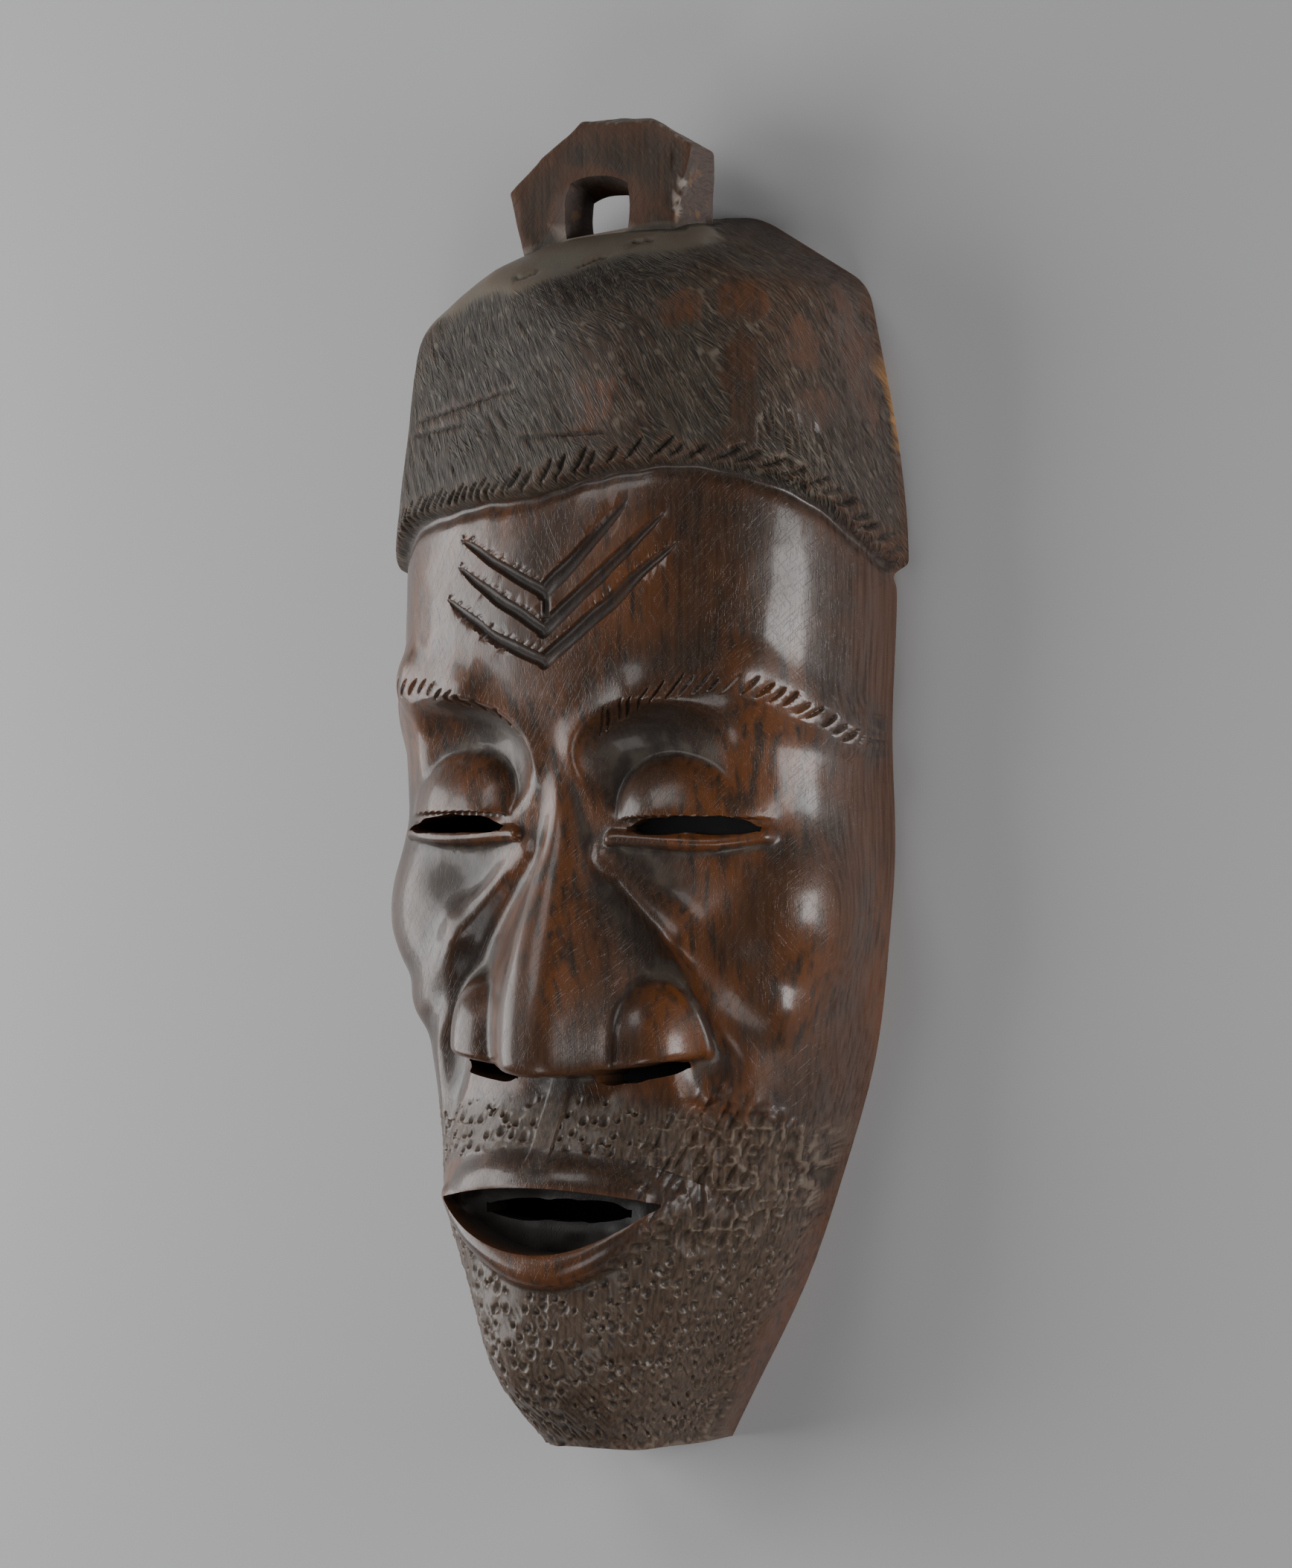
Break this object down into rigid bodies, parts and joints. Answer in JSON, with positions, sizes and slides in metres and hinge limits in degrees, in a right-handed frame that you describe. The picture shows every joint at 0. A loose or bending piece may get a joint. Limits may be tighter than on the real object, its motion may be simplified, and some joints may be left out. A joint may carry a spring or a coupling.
{
  "type": "wooden face mask",
  "caption": "Long carved hardwood wall mask: a face with pierced slit eyes and an open mouth under a close cap, hollow behind, with a pierced hanging lug on the crown.",
  "frame": {"origin": "middle of the mask's box seen from above, on the plane of the flat back rim that it lies on", "axes": "+Z out of the face, +Y from the chin to the crown and its lug, +X to the right of someone looking at the face"},
  "size_m": [0.1762, 0.42, 0.0904],
  "materials": {
    "dark_wood": "oiled and hand-polished dark hardwood, duller and scratched on the cap and the beard"
  },
  "bodies": {
    "root": {"mask": "dark_wood"}
  },
  "joints": []
}
